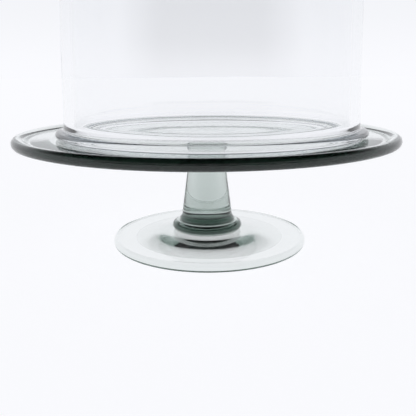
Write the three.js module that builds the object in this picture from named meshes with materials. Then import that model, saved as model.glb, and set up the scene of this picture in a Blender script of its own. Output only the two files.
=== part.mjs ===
// A footed glass cake stand with a loose glass dome.
//
// Millimetres, +Z up. The origin is on the plate's axis, in the plane that the foot rests on.
// Every piece is turned about an upright axis. Its outline is drawn as (radius, height) points,
// and runs from the axis out along the underside and back to the axis along the top.

import * as THREE from 'three';

// Clearances
const fusedGap = 0.3;          // between two gathers of glass that are fused to each other
const restGap = 0.3;           // between the plate and the loose dome that stands on it

// Foot
const footRadius = 75.5;
const footEdgeHeight = 6.2;
const footEdgeWidth = 2.5;     // how far the rounded edge reaches in from the outside
const footRestWidth = 7.6;     // flat ring that meets the table
const footHollow = 1.5;        // rise of the underside in the middle
const footValleyWidth = 3.9;   // from the raised edge's crest in to the shallow valley behind it
const footValleyDepth = 0.7;
const footSlopePull = 0.69;    // share of the way to the seat before the top starts to climb
const footPadHeight = 9;       // flat seat for the lower collar
const footOffCentre = 1.8;     // the foot was set this far off the stem's axis, towards +X

// Collars, the round buttons of glass at both ends of the stem
const lowerCollarHeight = 7.1;
const lowerCollarLedge = 1;    // flat ring left round the stem's end on the collar's face
const lowerCollarEdge = 4.7;   // width of the collar's half-round edge
const upperCollarHeight = 4.6;
const upperCollarLedge = 0.4;
const upperCollarEdge = 2.6;
const padMargin = 1.6;         // how far the foot's seat runs out beyond the collar's flat base

// Stem
const stemBaseRadius = 19.6;
const stemTopRadius = 13.6;
const stemBaseFlare = 2.1;     // extra radius where the base spreads into its collar
const stemBaseFlareHeight = 6.6;
const stemTopFlare = 0.8;
const stemTopFlareHeight = 3;

// Plate
const plateRadius = 145;
const plateTopHeight = 85;     // height of the face that the dome and the cake stand on
const plateThickness = 6.4;
const rimRound = 3.7;          // radius of the rounded edge
const rimLip = 3;              // how far the edge's crest stands above the face
const rimSlopeWidth = 9.5;     // from the crest in to the flat face
const rimUndersideWidth = 23;  // length of the underside's slope up to the edge

// Dome
const domeSeatMargin = 9.4;    // flat face left between the lip and the rim's slope, on the near side
const domeWall = 7.5;
const domeHeight = 180;        // from its base to the top of its crown
const domeShoulder = 34;       // outside radius of the turn from wall to crown
const domeCrownRadius = 340;   // outside radius of the shallow crown
const lipWidth = 5.9;          // how far the flared lip at the base stands out from the wall
const lipHeight = 9.5;         // from the base to where the lip leaves the outside of the wall
const lipWaist = 2.6;          // height at which the lip is widest
const lipOuterPull = 0.88;     // share of the lip's rise over which its outer edge stays upright
const lipWallPull = 0.9;       // and the same share for the wall above it
const lipInnerHeight = 12.8;   // from the base to where the inside of the wall starts to flare
const lipInnerFlare = 2.2;     // how far the inside of the wall has moved out at the base
const lipInnerRound = 2.2;     // radius of the turn from the flare to the base
const lipInnerPull = 0.48;     // share of the flare's height over which the wall above it stays upright
const lipFlarePull = 0.42;     // and the same share for the foot of the flare
const lipSeatWidth = 0.3;      // flat ring that stands on the plate
const domeOffCentre = 4;       // the loose dome stands this far off the plate's axis, towards +X

// Knob
const knobRadius = 19;
const knobBaseRadius = 9;
const knobCollarHeight = 6;
const knobCollarLedge = 2.5;
const knobCollarEdge = 3.5;

// Facets
const wideSides = 64;
const narrowSides = 36;

// Radii that follow from the sizes above
const stemBaseEnd = stemBaseRadius + stemBaseFlare;
const stemTopEnd = stemTopRadius + stemTopFlare;
const lowerCollarFlat = stemBaseEnd + lowerCollarLedge;
const upperCollarFlat = stemTopEnd + upperCollarLedge;
const knobCollarFlat = knobBaseRadius + knobCollarLedge;
const plateFaceRadius = plateRadius - rimRound - rimSlopeWidth;
const lipRadius = plateFaceRadius - domeSeatMargin - domeOffCentre;
const domeRadius = lipRadius - lipWidth;

// Heights that follow from the sizes above
const lowerCollarBase = footPadHeight + fusedGap;
const lowerCollarTop = lowerCollarBase + lowerCollarHeight;
const stemBase = lowerCollarTop + fusedGap;
const plateBase = plateTopHeight - plateThickness;
const upperCollarTop = plateBase - fusedGap;
const upperCollarBase = upperCollarTop - upperCollarHeight;
const stemTop = upperCollarBase - fusedGap;
const domeBase = plateTopHeight + restGap;
const domeTop = domeBase + domeHeight;
const knobCollarBase = domeTop + fusedGap;
const knobBase = knobCollarBase + knobCollarHeight + fusedGap;

function point(radius, height) {
  return new THREE.Vector2(radius, height);
}

// Part of an ellipse's edge. Angles are in degrees: 0 points outwards and 90 points up.
function arc(centre, halfWidth, halfHeight, from, to, steps) {
  const points = [];
  for (let step = 0; step <= steps; step += 1) {
    const angle = THREE.MathUtils.degToRad(from + ((to - from) * step) / steps);
    points.push(point(centre.x + halfWidth * Math.cos(angle), centre.y + halfHeight * Math.sin(angle)));
  }
  return points;
}

// A smooth step between two points that leaves and arrives level. The pull is the share of the way
// over which the start stays level, and the end stays level over the rest.
function levelSweep(start, end, steps, pull = 0.5) {
  const turn = THREE.MathUtils.lerp(start.x, end.x, pull);
  return new THREE.CubicBezierCurve(start, point(turn, start.y), point(turn, end.y), end).getPoints(steps);
}

// A smooth step between two points that leaves and arrives upright. Each pull is the share of the
// way over which that end stays upright.
function uprightSweep(start, end, steps, startPull = 0.5, endPull = 0.5) {
  const startTurn = point(start.x, THREE.MathUtils.lerp(start.y, end.y, startPull));
  const endTurn = point(end.x, THREE.MathUtils.lerp(end.y, start.y, endPull));
  return new THREE.CubicBezierCurve(start, startTurn, endTurn, end).getPoints(steps);
}

// An outline drops points that repeat the one before, as where two stretches join.
function joined(...stretches) {
  const points = stretches.flat();
  return points.filter((each, index) => index === 0 || each.distanceTo(points[index - 1]) > 1e-6);
}

function glass(color, roughness) {
  return new THREE.MeshStandardMaterial({ color, roughness, metalness: 0 });
}

function turned(name, outline, sides, material) {
  const geometry = new THREE.LatheGeometry(outline, sides);
  geometry.rotateX(Math.PI / 2);
  const mesh = new THREE.Mesh(geometry, material);
  mesh.name = name;
  return mesh;
}

// A disc with level faces and a half-round edge.
function buttonOutline(flatRadius, edgeWidth, base, height, steps) {
  const edgeCentre = point(flatRadius, base + height / 2);
  return joined(
    [point(0, base)],
    arc(edgeCentre, edgeWidth, height / 2, -90, 90, steps),
    [point(0, base + height)],
  );
}

// The foot is a shallow dish upside down: it rests on a flat ring just inside its rounded edge.
function footOutline() {
  const crestRadius = footRadius - footEdgeWidth;
  const edgeCentre = point(crestRadius, footEdgeHeight / 2);
  const valley = point(crestRadius - footValleyWidth, footEdgeHeight - footValleyDepth);
  const padRadius = lowerCollarFlat + padMargin + footOffCentre;
  const pad = point(padRadius, footPadHeight);
  return joined(
    levelSweep(point(0, footHollow), point(crestRadius - footRestWidth, 0), 8),
    arc(edgeCentre, footEdgeWidth, footEdgeHeight / 2, -90, 90, 8),
    levelSweep(point(crestRadius, footEdgeHeight), valley, 3),
    levelSweep(valley, pad, 6, footSlopePull),
    [point(0, footPadHeight)],
  );
}

function stemOutline() {
  const lowerWaist = point(stemBaseRadius, stemBase + stemBaseFlareHeight);
  const upperWaist = point(stemTopRadius, stemTop - stemTopFlareHeight);
  return joined(
    [point(0, stemBase)],
    uprightSweep(point(stemBaseEnd, stemBase), lowerWaist, 4),
    uprightSweep(upperWaist, point(stemTopEnd, stemTop), 4),
    [point(0, stemTop)],
  );
}

// The plate is flat, and its edge sweeps up to a rounded lip. The underside slopes up to meet it.
function plateOutline() {
  const edgeCentre = point(plateRadius - rimRound, plateTopHeight + rimLip - rimRound);
  const slopeStart = point(edgeCentre.x - rimUndersideWidth, plateBase);
  const reach = edgeCentre.clone().sub(slopeStart);
  const slope = THREE.MathUtils.radToDeg(reach.angle() - Math.asin(rimRound / reach.length()));
  return joined(
    [point(0, plateBase), slopeStart],
    arc(edgeCentre, rimRound, rimRound, slope - 90, 90, 10),
    levelSweep(point(edgeCentre.x, plateTopHeight + rimLip),
      point(edgeCentre.x - rimSlopeWidth, plateTopHeight), 5),
    [point(0, plateTopHeight)],
  );
}

// A bell of even thickness: straight wall, round shoulder, shallow crown, and a flared lip at the base.
function domeOutline() {
  const lean = Math.asin((domeRadius - domeShoulder) / (domeCrownRadius - domeShoulder));
  const shoulderEnd = 90 - THREE.MathUtils.radToDeg(lean);
  const crownCentre = point(0, domeTop - domeCrownRadius);
  const shoulderCentre = point(
    domeRadius - domeShoulder,
    crownCentre.y + (domeCrownRadius - domeShoulder) * Math.cos(lean),
  );
  const innerShoulder = domeShoulder - domeWall;
  const innerCrown = domeCrownRadius - domeWall;
  const innerRadius = domeRadius - domeWall;
  const flareTop = point(innerRadius, domeBase + lipInnerHeight);
  const flareEnd = point(innerRadius + lipInnerFlare, domeBase + lipInnerRound);
  const innerFoot = point(flareEnd.x + lipInnerRound, flareEnd.y);
  const outerFoot = point(innerFoot.x + lipSeatWidth, domeBase + lipWaist);
  const lipEdge = point(lipRadius, outerFoot.y);
  const lipTop = point(domeRadius, domeBase + lipHeight);
  return joined(
    arc(crownCentre, innerCrown, innerCrown, 90, shoulderEnd, 4),
    arc(shoulderCentre, innerShoulder, innerShoulder, shoulderEnd, 0, 6),
    uprightSweep(flareTop, flareEnd, 5, lipInnerPull, lipFlarePull),
    arc(innerFoot, lipInnerRound, lipInnerRound, 180, 270, 3),
    arc(outerFoot, lipRadius - outerFoot.x, lipWaist, -90, 0, 5),
    uprightSweep(lipEdge, lipTop, 7, lipOuterPull, lipWallPull),
    arc(shoulderCentre, domeShoulder, domeShoulder, 0, shoulderEnd, 6),
    arc(crownCentre, domeCrownRadius, domeCrownRadius, shoulderEnd, 90, 4),
  );
}

// A ball with a small flat base.
function knobOutline() {
  const baseAngle = Math.acos(knobBaseRadius / knobRadius);
  const centre = point(0, knobBase + knobRadius * Math.sin(baseAngle));
  return joined(
    [point(0, knobBase)],
    arc(centre, knobRadius, knobRadius, -THREE.MathUtils.radToDeg(baseAngle), 90, 14),
  );
}

const smokeGlass = { color: 0x8f9c97, roughness: 0.08 };
const clearGlass = { color: 0xe3ecea, roughness: 0.05 };

function makeStand() {
  const stand = new THREE.Group();
  const pale = () => glass(smokeGlass.color, smokeGlass.roughness);
  const foot = turned('foot', footOutline(), wideSides, pale());
  foot.position.x = footOffCentre;
  const lowerCollar = buttonOutline(
    lowerCollarFlat, lowerCollarEdge, lowerCollarBase, lowerCollarHeight, 8);
  const upperCollar = buttonOutline(
    upperCollarFlat, upperCollarEdge, upperCollarBase, upperCollarHeight, 8);
  stand.add(
    foot,
    turned('lower_collar', lowerCollar, narrowSides, pale()),
    turned('stem', stemOutline(), narrowSides, pale()),
    turned('upper_collar', upperCollar, narrowSides, pale()),
    turned('plate', plateOutline(), wideSides, pale()),
  );
  return stand;
}

function makeDome() {
  const dome = new THREE.Group();
  const clear = () => glass(clearGlass.color, clearGlass.roughness);
  const knobCollar = buttonOutline(
    knobCollarFlat, knobCollarEdge, knobCollarBase, knobCollarHeight, 6);
  dome.add(
    turned('dome', domeOutline(), wideSides, clear()),
    turned('knob_collar', knobCollar, narrowSides, clear()),
    turned('knob', knobOutline(), narrowSides, clear()),
  );
  dome.position.x = domeOffCentre;
  return dome;
}

const cakeStand = new THREE.Group();
cakeStand.add(makeStand(), makeDome());

export default cakeStand;
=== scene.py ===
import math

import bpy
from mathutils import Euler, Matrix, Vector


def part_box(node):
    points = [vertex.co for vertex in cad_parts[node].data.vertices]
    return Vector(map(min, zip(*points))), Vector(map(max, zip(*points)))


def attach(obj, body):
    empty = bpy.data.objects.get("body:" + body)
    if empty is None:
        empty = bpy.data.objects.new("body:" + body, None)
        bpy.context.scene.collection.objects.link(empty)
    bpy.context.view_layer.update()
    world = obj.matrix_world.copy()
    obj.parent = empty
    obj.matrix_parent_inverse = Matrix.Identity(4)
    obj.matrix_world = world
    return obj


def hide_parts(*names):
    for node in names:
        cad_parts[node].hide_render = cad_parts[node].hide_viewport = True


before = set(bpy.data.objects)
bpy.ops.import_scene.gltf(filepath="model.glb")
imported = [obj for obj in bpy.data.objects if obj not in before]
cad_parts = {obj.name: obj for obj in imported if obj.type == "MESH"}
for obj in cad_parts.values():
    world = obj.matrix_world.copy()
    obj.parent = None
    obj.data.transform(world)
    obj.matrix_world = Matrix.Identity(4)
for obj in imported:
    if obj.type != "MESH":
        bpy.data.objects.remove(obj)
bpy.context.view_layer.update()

# A footed smoke-glass cake stand with a loose clear glass dome, in a plain white studio.
#
# Each CAD node is replaced by one finely turned piece of the same outline. Outlines are drawn as
# (radius, height) points in metres, from the axis out along the underside and back along the top.
# Where two pieces are fused to each other, both have a flat joint face that light passes straight
# through, so that the stand looks like the one piece of glass that it is.

MM = 0.001

# ---------------------------------------------------------------- sizes

# Facets: sides round the axis, and the longest step along an outline
WIDE_SIDES = 256
NARROW_SIDES = 128
FINEST_STEP = 0.5 * MM
FINE_STEP = 1.0 * MM
DOME_STEP = 2.0 * MM
SAME_POINT = 0.001 * MM        # points closer than this are one point
LEVEL_TOLERANCE = 0.002 * MM   # how far from level a joint face may be
REACH_TOLERANCE = 0.01 * MM    # how far past its edge a joint face may reach

JOINT_GAP = 0.02 * MM          # between the two joint faces of a fused pair
REST_GAP = 0.05 * MM           # between the plate and the dome that stands on it

FOOT_EDGE_WIDTH = 2.5 * MM     # how far the rounded edge reaches in
FOOT_REST_WIDTH = 7.6 * MM
FOOT_HOLLOW = 1.5 * MM
FOOT_VALLEY_WIDTH = 3.9 * MM
FOOT_VALLEY_DEPTH = 0.7 * MM
FOOT_EDGE_HEIGHT = 6.2 * MM
FOOT_PAD_MARGIN = 3.4 * MM     # from the collar's base out to where the foot starts to fall away
FOOT_SLOPE_PULL = 0.69         # share of the way to the pad before the top starts to climb

LOWER_COLLAR_LEDGE = 1.0 * MM
LOWER_COLLAR_EDGE = 4.7 * MM
UPPER_COLLAR_LEDGE = 0.4 * MM
UPPER_COLLAR_EDGE = 2.6 * MM
STEM_BASE_FLARE_HEIGHT = 6.6 * MM
STEM_TOP_FLARE_HEIGHT = 3.0 * MM
STEM_BASE_RADIUS = 19.6 * MM
STEM_TOP_RADIUS = 13.6 * MM

RIM_ROUND = 3.7 * MM
RIM_LIP = 3.0 * MM
RIM_SLOPE_WIDTH = 9.5 * MM
RIM_UNDERSIDE_WIDTH = 23.0 * MM

DOME_RADIUS = 112.5 * MM
DOME_WALL = 7.5 * MM
DOME_SHOULDER = 34.0 * MM
DOME_CROWN_RADIUS = 340.0 * MM
LIP_HEIGHT = 9.5 * MM          # where the flared lip leaves the outside of the wall
LIP_WAIST = 2.6 * MM           # height at which the lip is widest
LIP_OUTER_PULL = 0.88          # share of the lip's rise over which its outer edge stays upright
LIP_WALL_PULL = 0.9            # and the same share for the wall above it
LIP_INNER_HEIGHT = 12.8 * MM   # where the inside of the wall starts to flare
LIP_INNER_FLARE = 2.2 * MM
LIP_INNER_ROUND = 2.2 * MM
LIP_INNER_PULL = 0.48          # share of the flare's height over which the wall above it stays upright
LIP_FLARE_PULL = 0.42          # and the same share for the foot of the flare
LIP_SEAT_WIDTH = 0.3 * MM      # flat ring that stands on the plate

KNOB_BASE_RADIUS = 9.0 * MM
KNOB_COLLAR_EDGE = 3.5 * MM


# ---------------------------------------------------------------- outlines


def point(radius, height):
    return Vector((radius, height))


def arc(centre, half_width, half_height, start, end, steps):
    """Part of an ellipse's edge. Angles are in degrees: 0 points outwards and 90 points up."""
    angles = [math.radians(start + (end - start) * i / steps) for i in range(steps + 1)]
    return [
        point(centre.x + half_width * math.cos(a), centre.y + half_height * math.sin(a))
        for a in angles
    ]


def bezier(start, first, second, end, steps):
    places = [i / steps for i in range(steps + 1)]
    return [
        start * (1 - t) ** 3 + first * (3 * t * (1 - t) ** 2) + second * (3 * t * t * (1 - t)) + end * t**3
        for t in places
    ]


def level_sweep(start, end, steps=14, pull=0.5):
    """A smooth step that leaves and arrives level: the start stays level over its share of the way."""
    turn = start.x + (end.x - start.x) * pull
    return bezier(start, point(turn, start.y), point(turn, end.y), end, steps)


def upright_sweep(start, end, steps=14, start_pull=0.5, end_pull=0.5):
    """A smooth step that leaves and arrives upright: each end stays upright over its pull's share."""
    rise = end.y - start.y
    start_turn = point(start.x, start.y + start_pull * rise)
    end_turn = point(end.x, end.y - end_pull * rise)
    return bezier(start, start_turn, end_turn, end, steps)


def joined(*stretches, step=FINE_STEP):
    """One outline from several stretches, with no repeats and no segment longer than step."""
    corners = [p for stretch in stretches for p in stretch]
    points = [corners[0]]
    for corner in corners[1:]:
        length = (corner - points[-1]).length
        if length < SAME_POINT:
            continue
        start = points[-1]
        pieces = max(1, math.ceil(length / step))
        points += [start.lerp(corner, i / pieces) for i in range(1, pieces + 1)]
    return points


# ---------------------------------------------------------------- meshes


def turned(node, outline, sides, materials, joints=(), centre=lambda radius: 0.0):
    """The piece that stands for a CAD node: an outline, from axis to axis, turned about it.

    joints are (radius, height) pairs: level faces at that height and inside that radius take the
    second material. centre gives the X of the axis for each radius.
    """
    verts, faces = [], []
    rings = []
    for p in outline:
        if p.x < SAME_POINT:
            rings.append([len(verts)])
            verts.append((centre(0.0), 0.0, p.y))
            continue
        ring = []
        for i in range(sides):
            a = 2 * math.pi * i / sides
            ring.append(len(verts))
            verts.append((centre(p.x) + p.x * math.cos(a), p.x * math.sin(a), p.y))
        rings.append(ring)
    for low, high in zip(rings, rings[1:]):
        for i in range(sides):
            j = (i + 1) % sides
            if len(low) == 1:
                faces.append((low[0], high[j], high[i]))
            elif len(high) == 1:
                faces.append((low[i], low[j], high[0]))
            else:
                faces.append((low[i], low[j], high[j], high[i]))
    name = node + "_glass"
    mesh = bpy.data.meshes.new(name)
    mesh.from_pydata(verts, [], faces)
    for material in materials:
        mesh.materials.append(material)
    mesh.shade_smooth()
    for face in mesh.polygons:
        for radius, height in joints:
            heights = [verts[v][2] for v in face.vertices]
            reach = max(math.hypot(verts[v][0] - centre(0.0), verts[v][1]) for v in face.vertices)
            level = max(abs(h - height) for h in heights) < LEVEL_TOLERANCE
            if level and reach < radius + REACH_TOLERANCE:
                face.material_index = 1
    obj = bpy.data.objects.new(name, mesh)
    bpy.context.scene.collection.objects.link(obj)
    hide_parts(node)
    return obj


# ---------------------------------------------------------------- materials

GLASS_IOR = 1.5
SMEAR_SCALE = 9.0
SMEAR_DETAIL = 6.0
SMEAR_ROUGHNESS = 0.6
SMEAR_START = 0.5              # only the noise above this level smudges the glass
SMEAR_FULL = 0.8
STREAK_SCALE = 14.0
STREAK_DETAIL = 3.0
STREAK_SHADE = 0.985
WAVE_SCALE = 22.0
WAVE_DETAIL = 1.0
WAVE_STRENGTH = 0.25
WAVE_DISTANCE = 0.3 * MM

# Each glass has its surface colour, what it absorbs with depth, and its roughest smudge
SMOKE_COLOUR = (0.985, 0.99, 0.985, 1.0)
SMOKE_ABSORBED = (0.0, 0.17, 0.10, 1.0)
SMOKE_DENSITY = 17.0
SMOKE_SMUDGE = 0.05
CLEAR_COLOUR = (0.99, 0.992, 0.995, 1.0)
CLEAR_ABSORBED = (0.0, 0.15, 0.25, 1.0)
CLEAR_DENSITY = 1.2
CLEAR_SMUDGE = 0.03


def new_node(tree, node_type, **values):
    """A new node with its plain inputs set by name."""
    node = tree.nodes.new(node_type)
    for name, value in values.items():
        node.inputs[name.replace("_", " ")].default_value = value
    return node


def glass(name, base_colour, absorbed_colour, absorbed_density, smudge):
    """Polished glass that darkens with depth, with faint smudges and a hand-made waviness."""
    material = bpy.data.materials.new(name)
    material.use_nodes = True
    tree = material.node_tree
    tree.nodes.clear()
    out = tree.nodes.new("ShaderNodeOutputMaterial")
    shader = new_node(tree, "ShaderNodeBsdfPrincipled", IOR=GLASS_IOR, Transmission_Weight=1.0)
    volume = new_node(
        tree, "ShaderNodeVolumeAbsorption", Color=absorbed_colour, Density=absorbed_density
    )
    place = tree.nodes.new("ShaderNodeTexCoord")
    links = tree.links

    smears = new_node(
        tree, "ShaderNodeTexNoise", Scale=SMEAR_SCALE, Detail=SMEAR_DETAIL, Roughness=SMEAR_ROUGHNESS
    )
    rough = new_node(
        tree, "ShaderNodeMapRange", From_Min=SMEAR_START, From_Max=SMEAR_FULL, To_Min=0.0, To_Max=smudge
    )
    links.new(place.outputs["Object"], smears.inputs["Vector"])
    links.new(smears.outputs["Fac"], rough.inputs["Value"])
    links.new(rough.outputs["Result"], shader.inputs["Roughness"])

    tone = tree.nodes.new("ShaderNodeMix")
    tone.data_type = "RGBA"
    tone.inputs["A"].default_value = base_colour
    tone.inputs["B"].default_value = tuple(c * STREAK_SHADE for c in base_colour[:3]) + (1.0,)
    streaks = new_node(tree, "ShaderNodeTexNoise", Scale=STREAK_SCALE, Detail=STREAK_DETAIL)
    links.new(place.outputs["Object"], streaks.inputs["Vector"])
    links.new(streaks.outputs["Fac"], tone.inputs["Factor"])
    links.new(tone.outputs["Result"], shader.inputs["Base Color"])

    waves = new_node(tree, "ShaderNodeTexNoise", Scale=WAVE_SCALE, Detail=WAVE_DETAIL)
    bump = new_node(tree, "ShaderNodeBump", Strength=WAVE_STRENGTH, Distance=WAVE_DISTANCE)
    links.new(place.outputs["Object"], waves.inputs["Vector"])
    links.new(waves.outputs["Fac"], bump.inputs["Height"])
    links.new(bump.outputs["Normal"], shader.inputs["Normal"])

    links.new(shader.outputs["BSDF"], out.inputs["Surface"])
    links.new(volume.outputs["Volume"], out.inputs["Volume"])
    return material


def joint_face(name, volume_of):
    """A face inside a fused joint: light goes straight through it, from glass to glass."""
    material = volume_of.copy()
    material.name = name
    tree = material.node_tree
    out = next(n for n in tree.nodes if n.type == "OUTPUT_MATERIAL")
    for node in [n for n in tree.nodes if n.type not in ("OUTPUT_MATERIAL", "VOLUME_ABSORPTION")]:
        tree.nodes.remove(node)
    clear = tree.nodes.new("ShaderNodeBsdfTransparent")
    tree.links.new(clear.outputs["BSDF"], out.inputs["Surface"])
    return material


stand_glass = glass("smoke_glass", SMOKE_COLOUR, SMOKE_ABSORBED, SMOKE_DENSITY, SMOKE_SMUDGE)
stand_joint = joint_face("smoke_glass_joint", stand_glass)
dome_glass = glass("clear_glass", CLEAR_COLOUR, CLEAR_ABSORBED, CLEAR_DENSITY, CLEAR_SMUDGE)
dome_joint = joint_face("clear_glass_joint", dome_glass)


# ---------------------------------------------------------------- places taken from the CAD

foot_low, foot_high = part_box("foot")
lower_low, lower_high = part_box("lower_collar")
stem_low, stem_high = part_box("stem")
upper_low, upper_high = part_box("upper_collar")
plate_low, plate_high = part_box("plate")
dome_low, dome_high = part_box("dome")
knob_collar_low, knob_collar_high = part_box("knob_collar")
knob_low, knob_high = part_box("knob")


def half_width(low, high):
    return (high.x - low.x) / 2


foot_radius = half_width(foot_low, foot_high)
foot_off_centre = (foot_low.x + foot_high.x) / 2
lower_radius = half_width(lower_low, lower_high)
upper_radius = half_width(upper_low, upper_high)
plate_radius = half_width(plate_low, plate_high)
lip_radius = half_width(dome_low, dome_high)
dome_off_centre = (dome_low.x + dome_high.x) / 2
knob_collar_radius = half_width(knob_collar_low, knob_collar_high)
plate_face = plate_high.z - RIM_LIP

# Fused joints lie halfway across the gaps that the CAD leaves
foot_joint = (foot_high.z + lower_low.z) / 2
stem_joint = (lower_high.z + stem_low.z) / 2
collar_joint = (stem_high.z + upper_low.z) / 2
plate_joint = (upper_high.z + plate_low.z) / 2
knob_collar_joint = (dome_high.z + knob_collar_low.z) / 2
knob_joint = (knob_collar_high.z + knob_low.z) / 2

lower_collar_flat = lower_radius - LOWER_COLLAR_EDGE
upper_collar_flat = upper_radius - UPPER_COLLAR_EDGE
stem_base_end = lower_collar_flat - LOWER_COLLAR_LEDGE
stem_top_end = upper_collar_flat - UPPER_COLLAR_LEDGE
knob_collar_flat = knob_collar_radius - KNOB_COLLAR_EDGE


# ---------------------------------------------------------------- the stand


def below(height):
    return height - JOINT_GAP / 2


def above(height):
    return height + JOINT_GAP / 2


def make_foot():
    crest_radius = foot_radius - FOOT_EDGE_WIDTH
    edge_centre = point(crest_radius, FOOT_EDGE_HEIGHT / 2)
    valley = point(crest_radius - FOOT_VALLEY_WIDTH, FOOT_EDGE_HEIGHT - FOOT_VALLEY_DEPTH)
    top = below(foot_joint)
    pad = point(lower_collar_flat + FOOT_PAD_MARGIN, top)
    outline = joined(
        level_sweep(point(0, FOOT_HOLLOW), point(crest_radius - FOOT_REST_WIDTH, 0), 40),
        arc(edge_centre, FOOT_EDGE_WIDTH, FOOT_EDGE_HEIGHT / 2, -90, 90, 32),
        level_sweep(point(crest_radius, FOOT_EDGE_HEIGHT), valley),
        level_sweep(valley, pad, 30, FOOT_SLOPE_PULL),
        [point(lower_collar_flat, top), point(0, top)],
    )

    def centre(radius):
        # The pad is centred under the stem, and the rim is off centre
        t = min(max((radius - pad.x) / (valley.x - pad.x), 0.0), 1.0)
        return foot_off_centre * t * t * (3 - 2 * t)

    return turned(
        "foot", outline, WIDE_SIDES, (stand_glass, stand_joint), [(lower_collar_flat, top)], centre
    )


def button_outline(flat, edge, base, top, base_joint, top_joint):
    """A disc with a half-round edge. The joint radii put a corner at the edge of each joint face."""
    return joined(
        [point(0, base), point(base_joint, base)],
        arc(point(flat, (base + top) / 2), edge, (top - base) / 2, -90, 90, 28),
        [point(top_joint, top), point(0, top)],
        step=FINEST_STEP,
    )


def make_lower_collar():
    base, top = above(foot_joint), below(stem_joint)
    outline = button_outline(
        lower_collar_flat, LOWER_COLLAR_EDGE, base, top, lower_collar_flat, stem_base_end
    )
    joints = [(lower_collar_flat, base), (stem_base_end, top)]
    return turned("lower_collar", outline, NARROW_SIDES, (stand_glass, stand_joint), joints)


def make_stem():
    base, top = above(stem_joint), below(collar_joint)
    lower_waist = point(STEM_BASE_RADIUS, base + STEM_BASE_FLARE_HEIGHT)
    upper_waist = point(STEM_TOP_RADIUS, top - STEM_TOP_FLARE_HEIGHT)
    outline = joined(
        [point(0, base)],
        upright_sweep(point(stem_base_end, base), lower_waist),
        upright_sweep(upper_waist, point(stem_top_end, top)),
        [point(0, top)],
    )
    joints = [(stem_base_end, base), (stem_top_end, top)]
    return turned("stem", outline, NARROW_SIDES, (stand_glass, stand_joint), joints)


def make_upper_collar():
    base, top = above(collar_joint), below(plate_joint)
    outline = button_outline(
        upper_collar_flat, UPPER_COLLAR_EDGE, base, top, stem_top_end, upper_collar_flat
    )
    joints = [(stem_top_end, base), (upper_collar_flat, top)]
    return turned("upper_collar", outline, NARROW_SIDES, (stand_glass, stand_joint), joints)


def make_plate():
    base = above(plate_joint)
    edge_centre = point(plate_radius - RIM_ROUND, plate_high.z - RIM_ROUND)
    slope_start = point(edge_centre.x - RIM_UNDERSIDE_WIDTH, base)
    reach = edge_centre - slope_start
    slope = math.degrees(math.atan2(reach.y, reach.x) - math.asin(RIM_ROUND / reach.length))
    crest = point(edge_centre.x, plate_high.z)
    face_edge = point(edge_centre.x - RIM_SLOPE_WIDTH, plate_face)
    outline = joined(
        [point(0, base), point(upper_collar_flat, base), slope_start],
        arc(edge_centre, RIM_ROUND, RIM_ROUND, slope - 90, 90, 36),
        level_sweep(crest, face_edge, 24),
        [point(0, plate_face)],
    )
    joints = [(upper_collar_flat, base)]
    return turned("plate", outline, WIDE_SIDES, (stand_glass, stand_joint), joints)


# ---------------------------------------------------------------- the dome


def make_dome():
    base, top = plate_face + REST_GAP, below(knob_collar_joint)
    lean = math.asin((DOME_RADIUS - DOME_SHOULDER) / (DOME_CROWN_RADIUS - DOME_SHOULDER))
    shoulder_end = 90 - math.degrees(lean)
    crown_centre = point(0, top - DOME_CROWN_RADIUS)
    shoulder_centre = point(
        DOME_RADIUS - DOME_SHOULDER,
        crown_centre.y + (DOME_CROWN_RADIUS - DOME_SHOULDER) * math.cos(lean),
    )
    inner_shoulder = DOME_SHOULDER - DOME_WALL
    inner_crown = DOME_CROWN_RADIUS - DOME_WALL
    inner_radius = DOME_RADIUS - DOME_WALL
    flare_top = point(inner_radius, base + LIP_INNER_HEIGHT)
    flare_end = point(inner_radius + LIP_INNER_FLARE, base + LIP_INNER_ROUND)
    inner_foot = point(flare_end.x + LIP_INNER_ROUND, flare_end.y)
    outer_foot = point(inner_foot.x + LIP_SEAT_WIDTH, base + LIP_WAIST)
    lip_edge = point(lip_radius, outer_foot.y)
    lip_top = point(DOME_RADIUS, base + LIP_HEIGHT)
    seat_angle = 90 - math.degrees(math.asin(knob_collar_flat / DOME_CROWN_RADIUS))
    outline = joined(
        arc(crown_centre, inner_crown, inner_crown, 90, shoulder_end, 24),
        arc(shoulder_centre, inner_shoulder, inner_shoulder, shoulder_end, 0, 24),
        upright_sweep(flare_top, flare_end, 20, LIP_INNER_PULL, LIP_FLARE_PULL),
        arc(inner_foot, LIP_INNER_ROUND, LIP_INNER_ROUND, 180, 270, 10),
        arc(outer_foot, lip_radius - outer_foot.x, LIP_WAIST, -90, 0, 18),
        upright_sweep(lip_edge, lip_top, 30, LIP_OUTER_PULL, LIP_WALL_PULL),
        arc(shoulder_centre, DOME_SHOULDER, DOME_SHOULDER, 0, shoulder_end, 24),
        arc(crown_centre, DOME_CROWN_RADIUS, DOME_CROWN_RADIUS, shoulder_end, seat_angle, 24),
        [point(knob_collar_flat, top), point(0, top)],
        step=DOME_STEP,
    )
    return turned(
        "dome", outline, WIDE_SIDES, (dome_glass, dome_joint), [(knob_collar_flat, top)]
    )


def make_knob_collar():
    base, top = above(knob_collar_joint), below(knob_joint)
    outline = button_outline(
        knob_collar_flat, KNOB_COLLAR_EDGE, base, top, knob_collar_flat, KNOB_BASE_RADIUS
    )
    joints = [(knob_collar_flat, base), (KNOB_BASE_RADIUS, top)]
    return turned("knob_collar", outline, NARROW_SIDES, (dome_glass, dome_joint), joints)


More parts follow.
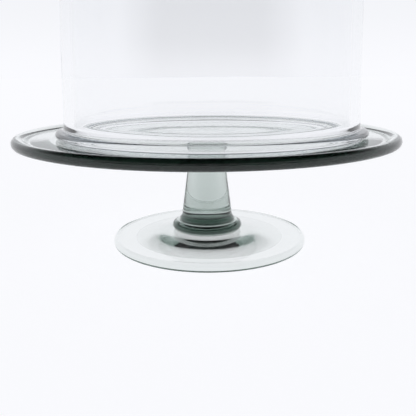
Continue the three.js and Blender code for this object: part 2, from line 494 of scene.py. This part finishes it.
def make_knob():
    base = above(knob_joint)
    height = knob_high.z - base
    ball = (KNOB_BASE_RADIUS**2 + height**2) / (2 * height)
    base_angle = math.degrees(math.acos(KNOB_BASE_RADIUS / ball))
    outline = joined(
        [point(0, base)],
        arc(point(0, knob_high.z - ball), ball, ball, -base_angle, 90, 48),
        step=FINEST_STEP,
    )
    return turned("knob", outline, NARROW_SIDES, (dome_glass, dome_joint), [(KNOB_BASE_RADIUS, base)])


# ---------------------------------------------------------------- assembly

for piece in (make_foot(), make_lower_collar(), make_stem(), make_upper_collar(), make_plate()):
    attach(piece, "stand")

for piece in (make_dome(), make_knob_collar(), make_knob()):
    piece.location.x = dome_off_centre
    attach(piece, "cover")


# ---------------------------------------------------------------- studio

FLOOR_REACH = 30.0             # from the middle to each side
FLOOR_CONTACT = 0.03 * MM      # how far the floor reaches into the foot, so that light passes between them
FLOOR_GLOW_NEAR = 0.93         # the floor gives off light of its own
FLOOR_GLOW_FAR = 0.94
FLOOR_NEAR = 0.3               # distances from the middle between which the glow changes
FLOOR_FAR = 1.6
FLOOR_COLOUR = (0.19, 0.192, 0.2, 1.0)
FLOOR_GLOW_COLOUR = (0.985, 0.99, 1.02, 1.0)
FLOOR_ROUGHNESS = 0.7


def make_floor():
    low, high, top = -FLOOR_REACH, FLOOR_REACH, FLOOR_CONTACT
    corners = [(low, low, top), (high, low, top), (high, high, top), (low, high, top)]
    mesh = bpy.data.meshes.new("floor")
    mesh.from_pydata(corners, [], [(0, 1, 2, 3)])
    material = bpy.data.materials.new("light_table")
    material.use_nodes = True
    tree = material.node_tree
    shader = tree.nodes["Principled BSDF"]
    shader.inputs["Base Color"].default_value = FLOOR_COLOUR
    shader.inputs["Roughness"].default_value = FLOOR_ROUGHNESS
    shader.inputs["Specular IOR Level"].default_value = 0.0
    shader.inputs["Emission Color"].default_value = FLOOR_GLOW_COLOUR
    place = tree.nodes.new("ShaderNodeTexCoord")
    length = tree.nodes.new("ShaderNodeVectorMath")
    length.operation = "LENGTH"
    glow = new_node(
        tree,
        "ShaderNodeMapRange",
        From_Min=FLOOR_NEAR,
        From_Max=FLOOR_FAR,
        To_Min=FLOOR_GLOW_NEAR,
        To_Max=FLOOR_GLOW_FAR,
    )
    tree.links.new(place.outputs["Object"], length.inputs[0])
    tree.links.new(length.outputs["Value"], glow.inputs["Value"])
    tree.links.new(glow.outputs["Result"], shader.inputs["Emission Strength"])
    mesh.materials.append(material)
    floor = bpy.data.objects.new("floor", mesh)
    bpy.context.scene.collection.objects.link(floor)


ROOM_HORIZON = (0.96, 0.965, 1.0, 1.0)
ROOM_LOW = (0.905, 0.915, 0.95, 1.0)
ROOM_FRONT_HORIZON = (0.62, 0.625, 0.64, 1.0)
ROOM_FRONT_LOW = (0.08, 0.082, 0.085, 1.0)
ROOM_FRONT = (0.6, 0.605, 0.62, 1.0)
ROOM_DARK = (0.002, 0.002, 0.002, 1.0)

# Where one colour of the room gives way to the next, as the Z or Y of a unit vector pointing there
WALL_FADE = (0.0, 0.14)        # Z, from the horizon up
FRONT_FALL = (-0.01, 0.075)    # Z, from the front's horizon up into its dark low part
FRONT_RISE = (0.13, 0.26)      # Z, from the dark low front to the lighter front wall
FRONT_TURN = (-0.3, -0.7)      # Y, from the side walls round to the front
CEILING_RISE = (0.3, 0.7)      # Z, from the walls to the ceiling


def make_room():
    """White walls all round, dimmer in front, under a black ceiling."""
    world = bpy.data.worlds.new("studio")
    bpy.context.scene.world = world
    world.use_nodes = True
    tree = world.node_tree
    background = tree.nodes["Background"]
    links = tree.links
    place = tree.nodes.new("ShaderNodeTexCoord")
    split = tree.nodes.new("ShaderNodeSeparateXYZ")
    links.new(place.outputs["Generated"], split.inputs["Vector"])

    def ramp(axis, ends):
        node = new_node(tree, "ShaderNodeMapRange", From_Min=ends[0], From_Max=ends[1])
        node.interpolation_type = "SMOOTHSTEP"
        links.new(split.outputs[axis], node.inputs["Value"])
        return node.outputs["Result"]

    def mixed(factor, first, second):
        node = tree.nodes.new("ShaderNodeMix")
        node.data_type = "RGBA"
        links.new(factor, node.inputs["Factor"])
        for name, value in (("A", first), ("B", second)):
            if isinstance(value, tuple):
                node.inputs[name].default_value = value
            else:
                links.new(value, node.inputs[name])
        return node.outputs["Result"]

    walls = mixed(ramp("Z", WALL_FADE), ROOM_HORIZON, ROOM_LOW)
    low_front = mixed(ramp("Z", FRONT_FALL), ROOM_FRONT_HORIZON, ROOM_FRONT_LOW)
    front = mixed(ramp("Z", FRONT_RISE), low_front, ROOM_FRONT)
    walls = mixed(ramp("Y", FRONT_TURN), walls, front)
    sky = mixed(ramp("Z", CEILING_RISE), walls, ROOM_DARK)
    links.new(sky, background.inputs["Color"])


CAMERA_LENS = 45.4
CAMERA_SENSOR = 36.0
CAMERA_NEAR = 0.01             # nothing nearer than this is drawn
CAMERA_SHIFT = -0.187
CAMERA_DISTANCE = 411 * MM
CAMERA_SIDE = 1.1 * MM
CAMERA_HEIGHT = 131 * MM
CAMERA_TILT = 6.0
CAMERA_ROLL = 0.3


def make_camera():
    data = bpy.data.cameras.new("camera")
    data.lens = CAMERA_LENS
    data.sensor_width = CAMERA_SENSOR
    data.shift_y = CAMERA_SHIFT
    data.clip_start = CAMERA_NEAR
    camera = bpy.data.objects.new("camera", data)
    bpy.context.scene.collection.objects.link(camera)
    turn = Euler((math.radians(90 - CAMERA_TILT), 0, 0)).to_matrix().to_4x4()
    roll = Matrix.Rotation(math.radians(-CAMERA_ROLL), 4, "Z")
    place = Matrix.Translation((CAMERA_SIDE, -CAMERA_DISTANCE, CAMERA_HEIGHT))
    camera.matrix_world = place @ turn @ roll
    bpy.context.scene.camera = camera


make_floor()
make_room()
make_camera()

GLASS_BOUNCES = 40             # light passes through many faces of thick glass

scene = bpy.context.scene
scene.view_settings.view_transform = "Standard"
scene.cycles.max_bounces = GLASS_BOUNCES
scene.cycles.transmission_bounces = GLASS_BOUNCES
scene.cycles.glossy_bounces = GLASS_BOUNCES
scene.cycles.transparent_max_bounces = GLASS_BOUNCES
